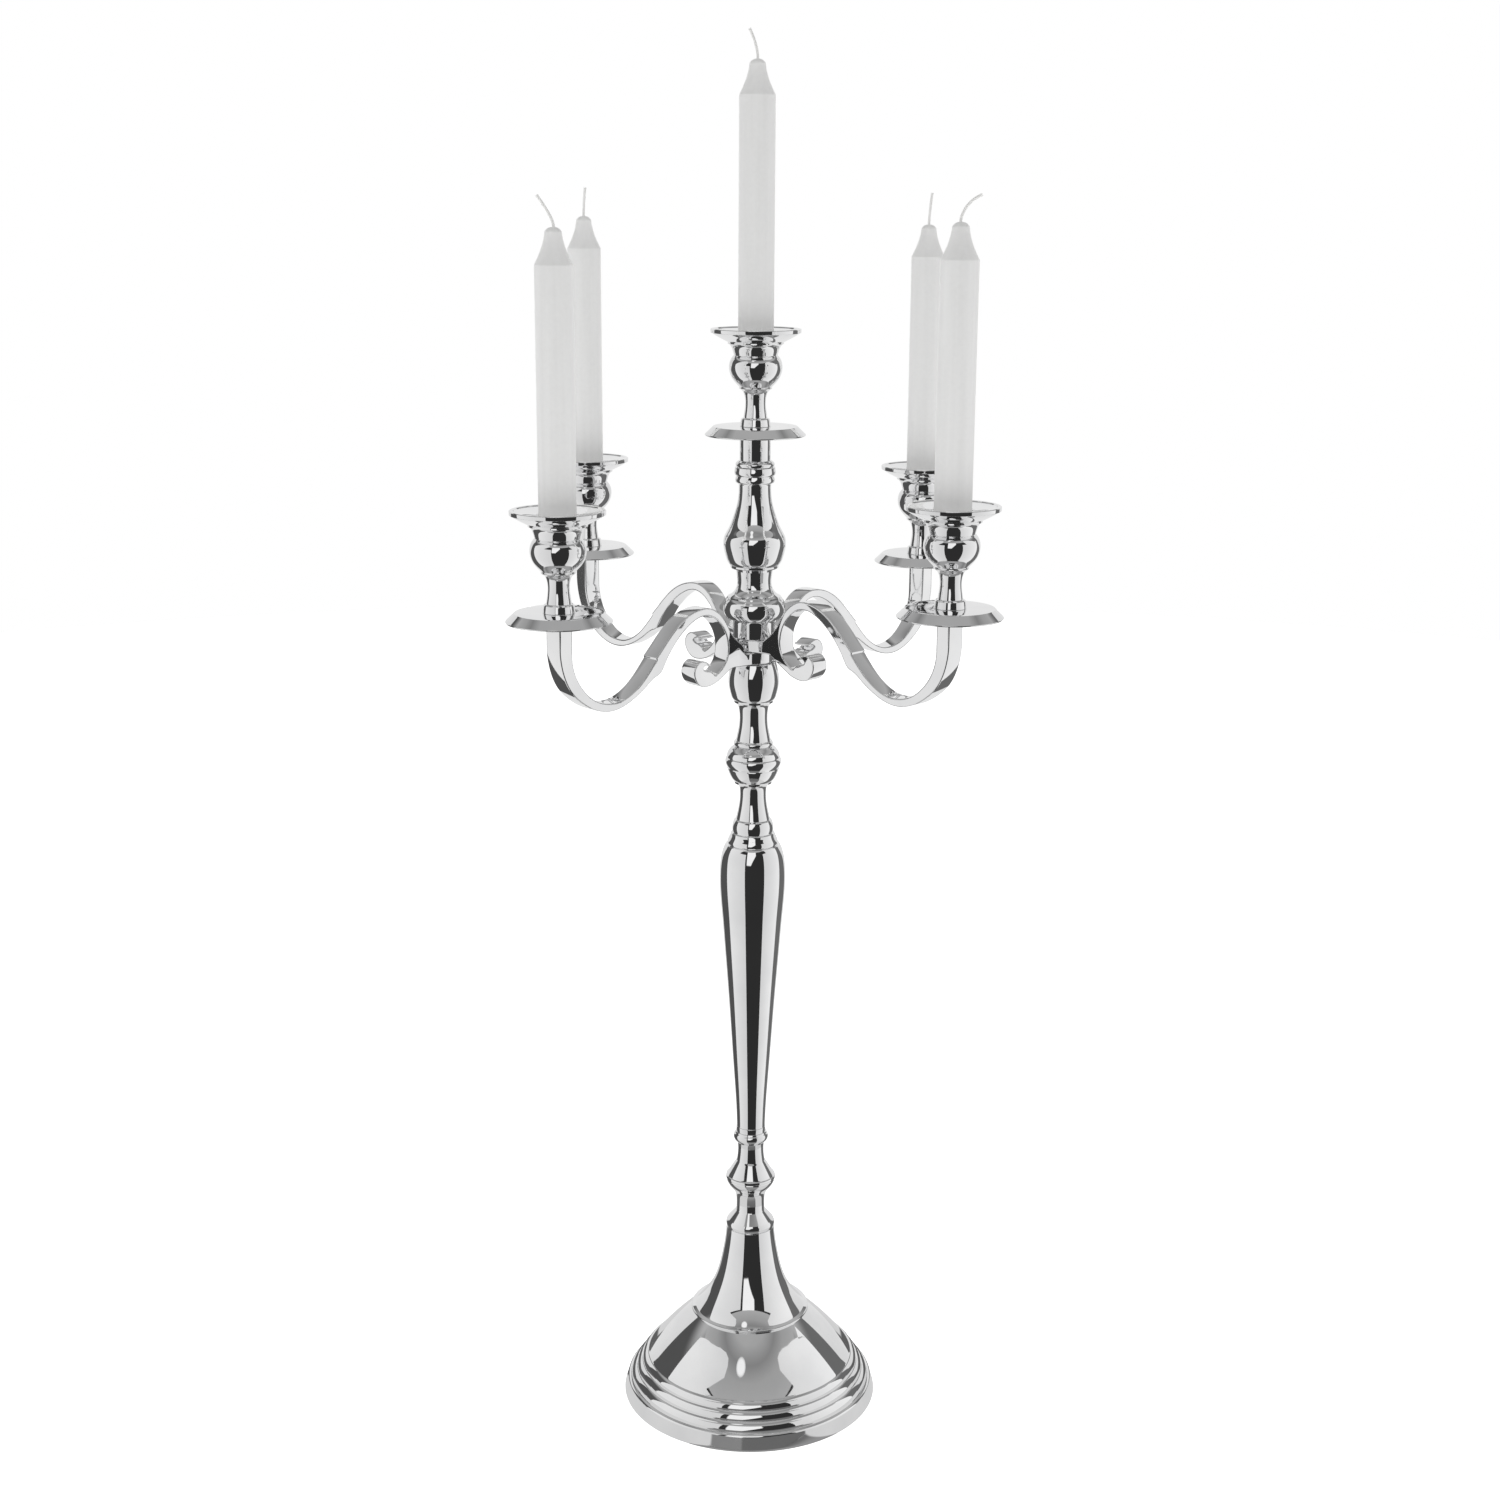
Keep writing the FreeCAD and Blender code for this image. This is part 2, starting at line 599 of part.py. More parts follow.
def make_light(name, x, y, pan_seat):
    """One light: drip pan, cup, candle and wick on the same upright axis."""
    make_pan("drip_pan_" + name, x, y, pan_seat)
    cup_seat = pan_seat + size["pan_thickness"]
    make_cup("candle_cup_" + name, x, y, cup_seat)
    candle_seat = cup_seat + size["socket_floor"] + size["candle_clearance"]
    make_candle("candle_" + name, x, y, candle_seat)
    wick_seat = candle_seat + size["candle_length"] - size["wick_bore_depth"]
    make_wick(name, x, y, wick_seat)


def make_studs(label, axis, riser):
    """The two studs that hold one crossbar's cups, as two solids in one node."""
    base = riser - size["stud_in_arm"]
    length = size["stud_in_arm"] + size["pan_thickness"] + size["stud_in_cup"]
    body = []
    for side, reach in (("near", -size["arm_reach"]), ("far", size["arm_reach"])):
        stud = doc.addObject("Part::Cylinder", label + "_" + side)
        bind(stud, "Radius", size["stud_radius"])
        bind(stud, "Height", length)
        bind(stud, "Placement.Base." + axis, reach)
        bind(stud, "Placement.Base.z", base)
        body.append(stud)
    group = doc.addObject("Part::Compound", label)
    group.Label = label
    group.Links = body
    return group


make_base()
make_fasteners()
make_stem()
make_crossbar("lower_arms", 90.0, seat["lower_eye"], Size(0.0))
upper_eye_low = seat["upper_eye"] - seat["lower_eye"] - size["upper_arm_lift"]
make_crossbar("upper_arms", 0.0, seat["upper_eye"], upper_eye_low)
reach = size["arm_reach"]
make_light("centre", 0.0, 0.0, seat["centre_pan"])
make_light("front_left", 0.0, -reach, seat["lower_riser"])
make_light("back_right", 0.0, reach, seat["lower_riser"])
make_light("front_right", reach, 0.0, seat["upper_riser"])
make_light("back_left", -reach, 0.0, seat["upper_riser"])
make_studs("cup_studs_lower", "y", seat["lower_riser"])
make_studs("cup_studs_upper", "x", seat["upper_riser"])
doc.recompute()

for item in doc.Objects:
    if "Invalid" in item.State or "Error" in item.State:
        raise RuntimeError(f"{item.Label} did not recompute: {item.State}")

nodes = [item for item in doc.Objects if item.TypeId in ("PartDesign::Body", "Part::Compound")]
os.makedirs("parts", exist_ok=True)
for node in nodes:
    if node.Shape.isNull() or not node.Shape.isValid():
        raise RuntimeError(f"{node.Label} has no valid shape")
    node.Shape.exportStep(f"parts/{node.Label}.step")
print(f"{len(nodes)} nodes written")
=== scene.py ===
"""Looks of the five-light candelabra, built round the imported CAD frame.

Metres, +Z up. Every turned piece is lathed again from its own CAD node's outline, with softened
edges, and each crossbar is built again from its own side outline, with rounded bar edges. Each wick
is three twisted strands inside its CAD node's space. The rods, studs, nut and washer are the CAD's
own meshes.
"""
import json
import math

import bmesh
import bpy
import numpy as np
from mathutils import Matrix, Vector
from mathutils.geometry import tessellate_polygon


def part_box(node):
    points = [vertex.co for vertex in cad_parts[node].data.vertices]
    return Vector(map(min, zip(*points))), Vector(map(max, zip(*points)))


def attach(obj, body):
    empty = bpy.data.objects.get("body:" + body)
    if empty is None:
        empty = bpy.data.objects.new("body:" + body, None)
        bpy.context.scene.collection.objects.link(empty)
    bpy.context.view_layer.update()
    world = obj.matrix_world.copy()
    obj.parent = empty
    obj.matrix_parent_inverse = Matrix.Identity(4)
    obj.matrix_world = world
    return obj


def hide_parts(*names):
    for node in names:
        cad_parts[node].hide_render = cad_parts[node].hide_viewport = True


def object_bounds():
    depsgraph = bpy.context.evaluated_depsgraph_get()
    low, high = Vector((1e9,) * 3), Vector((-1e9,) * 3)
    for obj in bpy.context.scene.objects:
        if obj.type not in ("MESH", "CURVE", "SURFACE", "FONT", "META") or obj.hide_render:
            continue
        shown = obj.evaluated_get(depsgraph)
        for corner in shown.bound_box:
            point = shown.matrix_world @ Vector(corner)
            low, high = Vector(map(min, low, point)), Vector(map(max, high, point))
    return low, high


MM = 0.001

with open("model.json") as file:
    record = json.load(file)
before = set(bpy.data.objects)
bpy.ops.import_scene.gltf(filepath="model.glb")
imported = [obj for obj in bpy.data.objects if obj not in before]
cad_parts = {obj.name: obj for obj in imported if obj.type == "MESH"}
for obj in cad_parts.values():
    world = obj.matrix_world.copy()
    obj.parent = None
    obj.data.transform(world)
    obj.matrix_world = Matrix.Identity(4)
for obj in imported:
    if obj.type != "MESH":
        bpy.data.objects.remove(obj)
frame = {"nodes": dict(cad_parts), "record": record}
cad_low, cad_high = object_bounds()
nodes = frame["nodes"]
PLACES = ("centre", "front_left", "back_right", "front_right", "back_left")


# ---------------------------------------------------------------- node-tree helpers
def add_node(tree, kind, inputs=None, **settings):
    """A node with its settings, and each input set to a number or linked to a socket."""
    made = tree.nodes.new(kind)
    for key, value in settings.items():
        setattr(made, key, value)
    for key, value in (inputs or {}).items():
        if isinstance(value, bpy.types.NodeSocket):
            tree.links.new(value, made.inputs[key])
        else:
            made.inputs[key].default_value = value
    return made


def maths(tree, operation, *values):
    """The result of a Math node on numbers or sockets."""
    return add_node(tree, "ShaderNodeMath", dict(enumerate(values)), operation=operation).outputs[0]


def rescale(tree, value, low, high, to_low=0.0, to_high=1.0, kind="SMOOTHSTEP"):
    """value carried from low..high to to_low..to_high, and held at the ends."""
    inputs = {"Value": value, "From Min": low, "From Max": high, "To Min": to_low, "To Max": to_high}
    return add_node(tree, "ShaderNodeMapRange", inputs, interpolation_type=kind).outputs["Result"]


def between(tree, value, low, high, soft):
    """1 where value lies from low to high, with soft edges, and 0 elsewhere."""
    rise = rescale(tree, value, low - soft / 2, low + soft / 2)
    fall = rescale(tree, value, high - soft / 2, high + soft / 2, 1.0, 0.0)
    return maths(tree, "MULTIPLY", rise, fall)


def layer(tree, under, over, mask):
    """over laid on under where mask is 1."""
    made = add_node(tree, "ShaderNodeMix", {0: mask, 2: under, 3: over}, data_type="FLOAT")
    return made.outputs[0]


def new_material(name):
    """An empty material with its output and Principled shader."""
    made = bpy.data.materials.new(name)
    made.use_nodes = True
    tree = made.node_tree
    tree.nodes.clear()
    shader = tree.nodes.new("ShaderNodeBsdfPrincipled")
    out = tree.nodes.new("ShaderNodeOutputMaterial")
    tree.links.new(shader.outputs[0], out.inputs[0])
    return made, tree, shader


# ---------------------------------------------------------------- materials
# Painted light: a constant emission that lightens the candle wax evenly, its shade included.
WAX_PAINTED_LIGHT = 0.22
# Painted light: the same kind of constant emission in the wick's cotton.
COTTON_PAINTED_LIGHT = 0.2


def polished_metal():
    """Mirror-polished nickel plate: faint haze, buffing lines round the axis and hair scratches."""
    made, tree, shader = new_material("polished_metal")
    shader.inputs["Metallic"].default_value = 1.0
    place = tree.nodes.new("ShaderNodeTexCoord").outputs["Object"]
    haze = add_node(tree, "ShaderNodeTexNoise", {"Vector": place, "Scale": 38.0, "Detail": 4.0})
    tint = add_node(tree, "ShaderNodeValToRGB", {"Fac": haze.outputs["Fac"]})
    tint.color_ramp.elements[0].position = 0.35
    tint.color_ramp.elements[0].color = (0.87, 0.872, 0.878, 1)
    tint.color_ramp.elements[1].position = 0.65
    tint.color_ramp.elements[1].color = (0.93, 0.93, 0.932, 1)
    tree.links.new(tint.outputs["Color"], shader.inputs["Base Color"])

    long_way = add_node(tree, "ShaderNodeMapping", {"Vector": place, "Scale": (1.0, 1.0, 46.0)})
    lines = add_node(tree, "ShaderNodeTexNoise",
                     {"Vector": long_way.outputs[0], "Scale": 30.0, "Detail": 3.0})
    rough = rescale(tree, haze.outputs["Fac"], 0.3, 0.75, 0.018, 0.055, "LINEAR")
    tree.links.new(rough, shader.inputs["Roughness"])

    turned = add_node(tree, "ShaderNodeMapping",
                      {"Vector": place, "Scale": (0.4, 1.0, 3.0), "Rotation": (0.5, 0.9, 0.3)})
    scratch = add_node(tree, "ShaderNodeTexNoise",
                       {"Vector": turned.outputs[0], "Scale": 260.0, "Detail": 6.0, "Roughness": 0.7})
    height = maths(tree, "ADD", maths(tree, "MULTIPLY", lines.outputs["Fac"], 0.5),
                   maths(tree, "MULTIPLY", scratch.outputs["Fac"], 0.25))
    bump = add_node(tree, "ShaderNodeBump",
                    {"Height": height, "Strength": 0.06, "Distance": 0.02 * MM})
    tree.links.new(bump.outputs["Normal"], shader.inputs["Normal"])
    return made


def plated_steel():
    """Zinc-plated steel of the rods, studs, nut and washer: greyer, with a drawn grain."""
    made, tree, shader = new_material("plated_steel")
    shader.inputs["Metallic"].default_value = 1.0
    place = tree.nodes.new("ShaderNodeTexCoord").outputs["Object"]
    spread = add_node(tree, "ShaderNodeMapping", {"Vector": place, "Scale": (1.0, 1.0, 0.15)})
    grain = add_node(tree, "ShaderNodeTexNoise",
                     {"Vector": spread.outputs[0], "Scale": 900.0, "Detail": 5.0})
    tint = add_node(tree, "ShaderNodeValToRGB", {"Fac": grain.outputs["Fac"]})
    tint.color_ramp.elements[0].color = (0.42, 0.43, 0.44, 1)
    tint.color_ramp.elements[1].color = (0.68, 0.68, 0.66, 1)
    tree.links.new(tint.outputs["Color"], shader.inputs["Base Color"])
    tree.links.new(rescale(tree, grain.outputs["Fac"], 0.3, 0.7, 0.28, 0.42), shader.inputs["Roughness"])
    bump = add_node(tree, "ShaderNodeBump",
                    {"Height": grain.outputs["Fac"], "Strength": 0.3, "Distance": 0.05 * MM})
    tree.links.new(bump.outputs["Normal"], shader.inputs["Normal"])
    return made


def candle_wax():
    """Pale drawn wax: soft translucence, faint upright streaks from the mould and fine mottling.

    The wax's constant emission is painted light: it lightens the whole candle, its shaded lower part
    too, and stands in for light scattered deep in the wax. It is set for this studio, so in darker
    light the candles look slightly self-lit.
    """
    made, tree, shader = new_material("candle_wax")
    place = tree.nodes.new("ShaderNodeTexCoord").outputs["Object"]
    upright = add_node(tree, "ShaderNodeMapping", {"Vector": place, "Scale": (1.0, 1.0, 0.03)})
    streak = add_node(tree, "ShaderNodeTexNoise",
                      {"Vector": upright.outputs[0], "Scale": 210.0, "Detail": 3.0})
    mottle = add_node(tree, "ShaderNodeTexNoise", {"Vector": place, "Scale": 480.0, "Detail": 5.0})
    shade = maths(tree, "ADD", maths(tree, "MULTIPLY", streak.outputs["Fac"], 0.7),
                  maths(tree, "MULTIPLY", mottle.outputs["Fac"], 0.3))
    tint = add_node(tree, "ShaderNodeValToRGB", {"Fac": shade})
    tint.color_ramp.elements[0].position = 0.3
    tint.color_ramp.elements[0].color = (0.66, 0.66, 0.655, 1)
    tint.color_ramp.elements[1].position = 0.7
    tint.color_ramp.elements[1].color = (0.74, 0.74, 0.735, 1)
    tree.links.new(tint.outputs["Color"], shader.inputs["Base Color"])
    # Painted light: a constant emission over the whole candle.
    shader.inputs["Emission Color"].default_value = (1.0, 1.0, 0.99, 1)
    shader.inputs["Emission Strength"].default_value = WAX_PAINTED_LIGHT
    shader.inputs["Subsurface Weight"].default_value = 0.25
    shader.inputs["Subsurface Radius"].default_value = (1.0, 1.0, 0.95)
    shader.inputs["Subsurface Scale"].default_value = 3.0 * MM
    shader.inputs["Specular IOR Level"].default_value = 0.25
    rough = rescale(tree, mottle.outputs["Fac"], 0.3, 0.7, 0.42, 0.56)
    tree.links.new(rough, shader.inputs["Roughness"])
    bump = add_node(tree, "ShaderNodeBump", {"Height": shade, "Strength": 0.25, "Distance": 0.12 * MM})
    tree.links.new(bump.outputs["Normal"], shader.inputs["Normal"])
    return made


def wick_cotton():
    """Undyed braided cotton, fine fibres along the strands; its constant emission is painted light, as in
    the wax.
    """
    made, tree, shader = new_material("wick_cotton")
    place = tree.nodes.new("ShaderNodeTexCoord").outputs["Object"]
    fibre = add_node(tree, "ShaderNodeTexNoise", {"Vector": place, "Scale": 2600.0, "Detail": 4.0})
    tint = add_node(tree, "ShaderNodeValToRGB", {"Fac": fibre.outputs["Fac"]})
    tint.color_ramp.elements[0].color = (0.60, 0.60, 0.59, 1)
    tint.color_ramp.elements[1].color = (0.86, 0.86, 0.85, 1)
    tree.links.new(tint.outputs["Color"], shader.inputs["Base Color"])
    shader.inputs["Roughness"].default_value = 0.92
    shader.inputs["Sheen Weight"].default_value = 0.3
    bump = add_node(tree, "ShaderNodeBump",
                    {"Height": fibre.outputs["Fac"], "Strength": 0.5, "Distance": 0.1 * MM})
    tree.links.new(bump.outputs["Normal"], shader.inputs["Normal"])
    # Painted light: a constant emission over the whole wick.
    shader.inputs["Emission Color"].default_value = (1.0, 0.99, 0.97, 1)
    shader.inputs["Emission Strength"].default_value = COTTON_PAINTED_LIGHT
    return made


METAL = polished_metal()
STEEL = plated_steel()
WAX = candle_wax()
COTTON = wick_cotton()


# ---------------------------------------------------------------- reading CAD outlines
def mesh_arrays(node):
    """A node's points, the edges that only one face uses, and the CAD face each point is on."""
    mesh = nodes[node].data
    points = np.zeros(len(mesh.vertices) * 3, np.float32)
    mesh.vertices.foreach_get("co", points)
    edges = np.zeros(len(mesh.edges) * 2, np.int32)
    mesh.edges.foreach_get("vertices", edges)
    edges = edges.reshape(-1, 2)
    corner_edges = np.zeros(len(mesh.loops), np.int32)
    mesh.loops.foreach_get("edge_index", corner_edges)
    uses = np.bincount(corner_edges, minlength=len(edges))
    face = np.arange(len(mesh.vertices))
    while True:
        lowest = face.copy()
        smaller = np.minimum(face[edges[:, 0]], face[edges[:, 1]])
        np.minimum.at(lowest, edges[:, 0], smaller)
        np.minimum.at(lowest, edges[:, 1], smaller)
        lowest = lowest[lowest]
        if (lowest == face).all():
            break
        face = lowest
    return points.reshape(-1, 3).astype(float), edges[uses == 1], face


SAME_POINT = 2e-6
ON_AXIS = 1e-7
SEAM_TURN = 1e-4
AXIS_GRID = 0.5 * MM


def same(a, b):
    """Whether two outline points are one point."""
    return math.hypot(a[0] - b[0], a[1] - b[1]) < SAME_POINT


def joined_chain(segments):
    """Points in order along an open chain of two-point segments."""
    points, links = [], []

    def index_of(p):
        for i, q in enumerate(points):
            if same(p, q):
                return i
        points.append(p)
        links.append(set())
        return len(points) - 1

    for a, b in segments:
        i, j = index_of(a), index_of(b)
        if i != j:
            links[i].add(j)
            links[j].add(i)
    here = next(i for i, near in enumerate(links) if len(near) == 1)
    order, seen = [], set()
    while here is not None:
        order.append(points[here])
        seen.add(here)
        here = next((j for j in links[here] if j not in seen), None)
    return order


def linked_runs(runs):
    """Runs put end to end, each turned round where that is needed."""
    left = list(runs)
    ordered = [left.pop(0)]
    while left:
        tail, head = ordered[-1][-1], ordered[0][0]
        for i, run in enumerate(left):
            if same(run[0], tail):
                ordered.append(left.pop(i))
                break
            if same(run[-1], tail):
                ordered.append(left.pop(i)[::-1])
                break
            if same(run[-1], head):
                ordered.insert(0, left.pop(i))
                break
            if same(run[0], head):
                ordered.insert(0, left.pop(i)[::-1])
                break
        else:
            raise ValueError("an outline has a gap")
    return ordered


def turned_runs(node):
    """The outline of a turned node as runs of (radius, height), and its upright axis."""
    points, rim_edges, face = mesh_arrays(node)
    low, high = points.min(0), points.max(0)
    axis = np.round((low[:2] + high[:2]) / 2 / AXIS_GRID) * AXIS_GRID
    away = points[:, :2] - axis
    radius = np.hypot(away[:, 0], away[:, 1])
    turn = np.arctan2(away[:, 1], away[:, 0])
    gap = np.abs((turn[rim_edges[:, 0]] - turn[rim_edges[:, 1]] + np.pi) % (2 * np.pi) - np.pi)
    seam = rim_edges[gap < SEAM_TURN]
    runs = []
    for label in np.unique(face):
        on_face = face == label
        mine = seam[on_face[seam[:, 0]]]
        if len(mine):
            runs.append(joined_chain([((radius[i], points[i, 2]), (radius[j], points[j, 2]))
                                      for i, j in mine]))
        else:
            level = points[on_face, 2].mean()
            inner, outer = radius[on_face].min(), radius[on_face].max()
            full_disc = outer - inner < SAME_POINT
            runs.append([(0.0 if full_disc else inner, level), (outer, level)])
    return linked_runs(runs), axis


# ---------------------------------------------------------------- smooth outlines
# A corner is rounded if it turns by more than SHARP_TURN. Turns are in radians. A rounding takes at
# most LONGEST_CUT of the shorter run beside it.
SHARP_TURN = math.radians(5)
WIDEST_TURN = 2.6
LONGEST_CUT = 0.4
TOO_CLOSE = 1e-6


def smooth_run(run, step):
    """A run's points refined along a natural cubic spline; a straight run keeps its ends."""
    path = np.array(run, float)
    if len(path) < 3:
        return path
    along = np.concatenate([[0], np.cumsum(np.hypot(*np.diff(path, axis=0).T))])
    gaps = np.diff(along)
    count = len(path)
    system = np.eye(count)
    change = np.zeros((count, 2))
    for i in range(1, count - 1):
        system[i, i - 1] = gaps[i - 1]
        system[i, i] = 2 * (gaps[i - 1] + gaps[i])
        system[i, i + 1] = gaps[i]
        change[i] = 6 * ((path[i + 1] - path[i]) / gaps[i] - (path[i] - path[i - 1]) / gaps[i - 1])
    system[0, 1] = -1.0
    system[-1, -2] = -1.0
    bend = np.linalg.solve(system, change)
    fine = [path[:1]]
    for i in range(count - 1):
        parts = max(2, math.ceil(gaps[i] / step))
        t = (np.arange(1, parts + 1) / parts)[:, None]
        a, b = path[i] * (1 - t), path[i + 1] * t
        curve = ((1 - t) ** 3 - (1 - t)) * bend[i] + (t ** 3 - t) * bend[i + 1]
        fine.append(a + b + curve * gaps[i] ** 2 / 6)
    return np.concatenate(fine)


def point_along(run, distance):
    """The point of a polyline at a distance from its start."""
    at = np.concatenate([[0], np.cumsum(np.hypot(*np.diff(run, axis=0).T))])
    return np.array([np.interp(distance, at, run[:, 0]), np.interp(distance, at, run[:, 1])])


def softened(runs, step, radius, closed):
    """One polyline through the smooth runs, with each sharp corner rounded off."""
    fine = [smooth_run(run, step) for run in runs]
    lengths = [np.hypot(*np.diff(run, axis=0).T).sum() for run in fine]
    count = len(fine)
    trims = np.zeros((count, 2))
    corners = range(count) if closed else range(count - 1)
    for i in corners:
        j = (i + 1) % count
        into, out = fine[i][-1] - fine[i][-2], fine[j][1] - fine[j][0]
        into, out = into / np.hypot(*into), out / np.hypot(*out)
        turn = math.acos(max(-1.0, min(1.0, float(into @ out))))
        if turn > SHARP_TURN:
            longest = LONGEST_CUT * min(lengths[i], lengths[j])
            cut = min(radius * math.tan(min(turn, WIDEST_TURN) / 2), longest)
            trims[i, 1] = cut
            trims[j, 0] = cut
    line = []
    for i in range(count):
        run, (start, end) = fine[i], trims[i]
        at = np.concatenate([[0], np.cumsum(np.hypot(*np.diff(run, axis=0).T))])
        total = at[-1]
        inside = (at > start + 1e-9) & (at < total - end - 1e-9)
        line.append(point_along(run, start))
        line.extend(run[inside])
        if end > 0:
            j = (i + 1) % count
            before, corner, after = point_along(run, total - end), run[-1], point_along(fine[j], end)
            line.append(before)
            for t in (0.25, 0.5, 0.75):
                line.append(before * (1 - t) ** 2 + corner * 2 * t * (1 - t) + after * t ** 2)
        elif not closed and i == count - 1:
            line.append(run[-1])
    kept = [line[0]]
    for p in line[1:]:
        if np.hypot(*(p - kept[-1])) > TOO_CLOSE:
            kept.append(p)
    if closed and np.hypot(*(kept[0] - kept[-1])) < TOO_CLOSE:
        kept.pop()
    return np.array(kept)


# ---------------------------------------------------------------- building pieces
def new_piece(name, points, faces, material, flat_faces=()):
    """A mesh piece, smooth shaded apart from the faces named flat."""
    mesh = bpy.data.meshes.new(name)
    mesh.from_pydata([tuple(p) for p in points], [], faces)
    smooth = np.ones(len(mesh.polygons), bool)
    smooth[list(flat_faces)] = False
    mesh.polygons.foreach_set("use_smooth", smooth)
    mesh.materials.append(material)
    mesh.validate()
    made = bpy.data.objects.new(name, mesh)
    bpy.context.scene.collection.objects.link(made)
    return made


def lathe(outline, axis, sides):
    """Points and faces of an outline turned about an upright axis."""
    turns = np.arange(sides) * 2 * np.pi / sides
    on_axis = outline[:, 0] < ON_AXIS
    closed = not on_axis.any()
    points, rings = [], []
    for (radius, height), pole in zip(outline, on_axis):
        if pole:
            rings.append([len(points)] * sides)
            points.append((axis[0], axis[1], height))
        else:
            rings.append(list(range(len(points), len(points) + sides)))
            points.extend(zip(axis[0] + radius * np.cos(turns), axis[1] + radius * np.sin(turns),
                              [height] * sides))
    faces = []
    pairs = list(zip(rings, rings[1:] + rings[:1])) if closed else list(zip(rings, rings[1:]))
    for ring, following in pairs:
        for k in range(sides):
            n = (k + 1) % sides
            face = [ring[k], ring[n], following[n], following[k]]
            if ring[k] == ring[n]:
                face = [ring[k], following[n], following[k]]
            elif following[k] == following[n]:
                face = [ring[k], ring[n], following[k]]
            faces.append(face)
    return points, faces


def outward(outline):
    """The outline turned so that its faces look out: counter-clockwise in radius and height."""
    following = np.roll(outline, -1, axis=0)
    area = (outline[:, 0] * following[:, 1] - following[:, 0] * outline[:, 1]).sum()
    return outline if area > 0 else outline[::-1]


BODY_OF = {name: body for body, names in frame["record"]["behaviour"]["bodies"].items() for name in names}


def turned_piece(node, material, sides=128, step=0.7 * MM, edge=0.22 * MM):
    """A finely turned piece that stands for a turned CAD node."""
    runs, axis = turned_runs(node)
    ends_on_axis = runs[0][0][0] < ON_AXIS
    outline = outward(softened(runs, step, edge, closed=not ends_on_axis))
    points, faces = lathe(outline, axis, sides)
    piece = new_piece(node + "_finish", points, faces, material)
    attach(piece, BODY_OF[node])
    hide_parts(node)


BAR_EDGE = 0.9 * MM
BAR_CORNER = 0.5 * MM
ROUNDING_STEPS = 5
BAR_STEP = 0.6 * MM
PLAN_STEP = 0.4 * MM
ROOT_END = 20.0 * MM
ROOT_COLUMNS = 81
CAP_ROWS = (0.02, 0.2, 0.5, 0.8, 0.98)
PLAN_SLACK = 0.3 * MM
# Half the casting's width in plan against the distance from the stem's axis.
FLARE = np.array([(0.0, 12.0), (3.4, 11.51), (6.5, 10.09), (10.0, 8.2), (14.0, 6.9), (17.0, 6.4),
                  (20.0, 6.25)]) * MM
PLAN = smooth_run(FLARE, PLAN_STEP)


def half_width(reach):
    """Half the casting's width at a distance from the stem's axis: eye, hollow flare, then bar."""
    return np.interp(np.abs(reach), PLAN[:, 0], PLAN[:, 1])


def bar_runs(node, along):
    """One arm's side outline as runs of (distance from the stem, height), foot of the eye first."""
    points, rim_edges, face = mesh_arrays(node)
    width = half_width(points[:, along])
    on_side = np.abs(points[:, 1 - along] - width) < PLAN_SLACK
    far_side = np.abs(points[:, 1 - along] + width) < PLAN_SLACK
    edges = rim_edges[on_side[rim_edges[:, 0]] & on_side[rim_edges[:, 1]]]
    edges = edges[(points[edges[:, 0], along] > 0) & (points[edges[:, 1], along] > 0)]
    runs = []
    for label in np.unique(face[edges[:, 0]]):
        if far_side[face == label].any():
            mine = edges[face[edges[:, 0]] == label]
            runs.append(joined_chain([(tuple(points[i, [along, 2]]), tuple(points[j, [along, 2]]))
                                      for i, j in mine]))
    runs = linked_runs(runs)
    if runs[0][0][1] > runs[-1][-1][1]:
        runs = [run[::-1] for run in runs[::-1]]
    return runs


def crossbar_outline(node, along):
    """The closed side outline, its root columns evenly spaced: foot, right arm, top, left arm."""
    right = bar_runs(node, along)
    left = [[(-u, z) for u, z in run[::-1]] for run in right[::-1]]
    top = [right[-1][-1], left[0][0]]
    foot = [left[-1][-1], right[0][0]]
    middle = (foot[0][1] + top[0][1]) / 2
    loop = outward(softened(right + [top] + left + [foot], BAR_STEP, BAR_CORNER, closed=True))
    in_root = np.abs(loop[:, 0]) <= ROOT_END
    low_half, high_half = in_root & (loop[:, 1] < middle), in_root & (loop[:, 1] > middle)
    low_points, high_points = loop[low_half], loop[high_half]
    low_places = np.flatnonzero(low_half)
    loop = np.roll(loop, -low_places[np.argmin(loop[low_places, 0])], axis=0)
    reach = np.linspace(-ROOT_END, ROOT_END, ROOT_COLUMNS)

    def level(points):
        points = points[np.argsort(points[:, 0])]
        return np.interp(reach, points[:, 0], points[:, 1])

    bottom = np.stack([reach, level(low_points)], 1)
    upper = np.stack([reach, level(high_points)], 1)[::-1]
    right_arm, left_arm = loop[loop[:, 0] > ROOT_END], loop[loop[:, 0] < -ROOT_END]
    return np.concatenate([bottom, right_arm, upper, left_arm]), len(right_arm)


